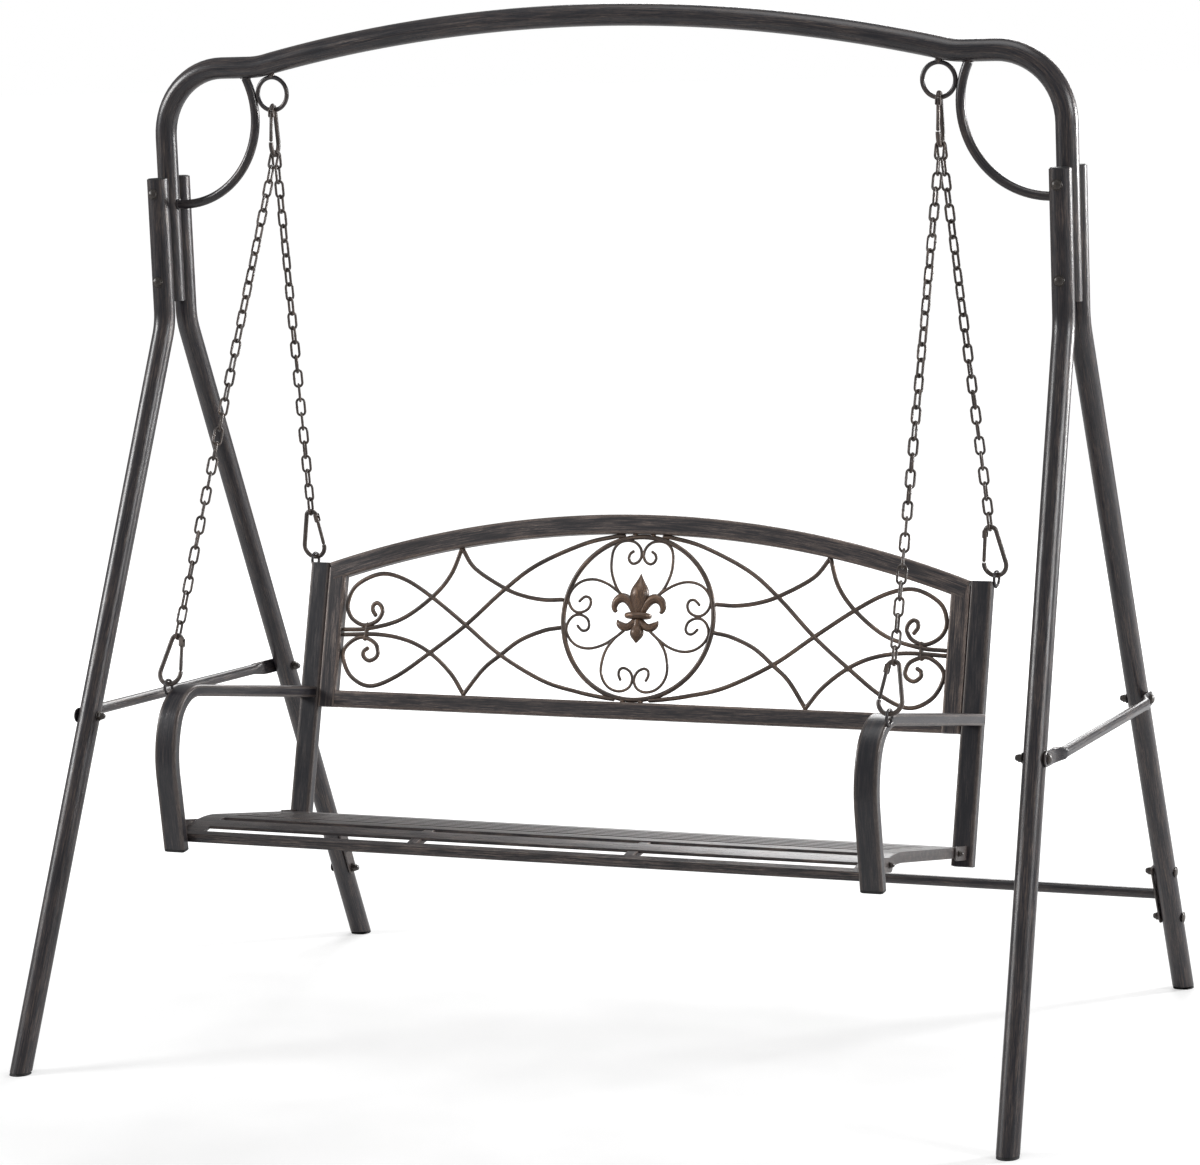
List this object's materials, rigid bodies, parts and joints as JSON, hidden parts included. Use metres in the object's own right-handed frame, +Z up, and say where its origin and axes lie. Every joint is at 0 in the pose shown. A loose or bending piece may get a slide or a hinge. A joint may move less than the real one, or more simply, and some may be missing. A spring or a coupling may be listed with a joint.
{
  "type": "garden swing bench",
  "caption": "Garden swing bench of dark bronze painted steel: A-frame stand with arched beam, slotted seat, scrolled back with round medallion, hung on chains with snap hooks.",
  "frame": {"origin": "on the ground, in the middle of the stand's footprint", "axes": "+X to the right as seen from the front, along the beam, +Y to the back, +Z up"},
  "size_m": [1.8406, 1.1752, 1.7915],
  "materials": {
    "dark_bronze_paint": "satin dark bronze-black paint with brushed copper-bronze streaks",
    "hanger_bronze": "satin brown-bronze coating on wire",
    "rubbed_copper": "dark paint rubbed with copper on the raised parts",
    "black_fasteners": "black coated bolts and nuts",
    "black_plastic": "matt black plugs"
  },
  "bodies": {
    "stand": {"top_beam": "dark_bronze_paint", "rear_crossbar": "dark_bronze_paint", "leg_front_left": "dark_bronze_paint", "foot_plug_front_left": "black_plastic", "brace_bolt_front_left": "black_fasteners", "leg_rear_left": "dark_bronze_paint", "foot_plug_rear_left": "black_plastic", "brace_bolt_rear_left": "black_fasteners", "corner_arc_left": "dark_bronze_paint", "hanging_ring_left": "dark_bronze_paint", "side_brace_left": "dark_bronze_paint", "beam_bolt_upper_left": "black_fasteners", "crossbar_bolt_upper_left": "black_fasteners", "beam_bolt_lower_left": "black_fasteners", "crossbar_bolt_lower_left": "black_fasteners", "leg_front_right": "dark_bronze_paint", "foot_plug_front_right": "black_plastic", "brace_bolt_front_right": "black_fasteners", "leg_rear_right": "dark_bronze_paint", "foot_plug_rear_right": "black_plastic", "brace_bolt_rear_right": "black_fasteners", "corner_arc_right": "dark_bronze_paint", "hanging_ring_right": "dark_bronze_paint", "side_brace_right": "dark_bronze_paint", "beam_bolt_upper_right": "black_fasteners", "crossbar_bolt_upper_right": "black_fasteners", "beam_bolt_lower_right": "black_fasteners", "crossbar_bolt_lower_right": "black_fasteners"},
    "bench": {"back_frame": "dark_bronze_paint", "medallion": "dark_bronze_paint", "ornament": "rubbed_copper", "seat": "dark_bronze_paint", "arm_left": "dark_bronze_paint", "arm_plug_left": "black_plastic", "post_left": "dark_bronze_paint", "lattice_left": "dark_bronze_paint", "seat_bolt_front_left": "black_fasteners", "seat_bolt_rear_left": "black_fasteners", "hook_top_left": "hanger_bronze", "hook_front_left": "hanger_bronze", "chain_front_left": "hanger_bronze", "hook_rear_left": "hanger_bronze", "chain_rear_left": "hanger_bronze", "arm_right": "dark_bronze_paint", "arm_plug_right": "black_plastic", "post_right": "dark_bronze_paint", "lattice_right": "dark_bronze_paint", "seat_bolt_front_right": "black_fasteners", "seat_bolt_rear_right": "black_fasteners", "hook_top_right": "hanger_bronze", "hook_front_right": "hanger_bronze", "chain_front_right": "hanger_bronze", "hook_rear_right": "hanger_bronze", "chain_rear_right": "hanger_bronze"},
    "gate_top_left_body": {"gate_top_left": "hanger_bronze"},
    "gate_front_left_body": {"gate_front_left": "hanger_bronze"},
    "gate_rear_left_body": {"gate_rear_left": "hanger_bronze"},
    "gate_top_right_body": {"gate_top_right": "hanger_bronze"},
    "gate_front_right_body": {"gate_front_right": "hanger_bronze"},
    "gate_rear_right_body": {"gate_rear_right": "hanger_bronze"}
  },
  "joints": [
    {"name": "swing", "type": "hinge", "parent": "stand", "child": "bench", "pos_m": [0, 0, 1.6219], "axis": [1, 0, 0], "range_deg": [-25, 25]},
    {"name": "gate_top_left_hinge", "type": "hinge", "parent": "bench", "child": "gate_top_left_body", "pos_m": [-0.62252, -0.01122, 1.61329], "axis": [0.9848, 0.1736, 0], "range_deg": [0, 14], "stiffness_Nm_per_rad": 0.02, "springref_deg": -20.05},
    {"name": "gate_front_left_hinge", "type": "hinge", "parent": "bench", "child": "gate_front_left_body", "pos_m": [-0.64757, -0.37483, 0.72764], "axis": [0, 0.9106, -0.4133], "range_deg": [0, 14], "stiffness_Nm_per_rad": 0.02, "springref_deg": -20.05},
    {"name": "gate_rear_left_hinge", "type": "hinge", "parent": "bench", "child": "gate_rear_left_body", "pos_m": [-0.64056, 0.11992, 0.87569], "axis": [0, 0.9854, 0.1704], "range_deg": [0, 14], "stiffness_Nm_per_rad": 0.02, "springref_deg": -20.05},
    {"name": "gate_top_right_hinge", "type": "hinge", "parent": "bench", "child": "gate_top_right_body", "pos_m": [0.62628, -0.01125, 1.61329], "axis": [0.9877, 0.1564, 0], "range_deg": [0, 14], "stiffness_Nm_per_rad": 0.02, "springref_deg": -20.05},
    {"name": "gate_front_right_hinge", "type": "hinge", "parent": "bench", "child": "gate_front_right_body", "pos_m": [0.64767, -0.37482, 0.72766], "axis": [0, -0.9106, 0.4133], "range_deg": [0, 14], "stiffness_Nm_per_rad": 0.02, "springref_deg": -20.05},
    {"name": "gate_rear_right_hinge", "type": "hinge", "parent": "bench", "child": "gate_rear_right_body", "pos_m": [0.64043, 0.11993, 0.87566], "axis": [0, -0.9854, -0.1703], "range_deg": [0, 14], "stiffness_Nm_per_rad": 0.02, "springref_deg": -20.05}
  ]
}
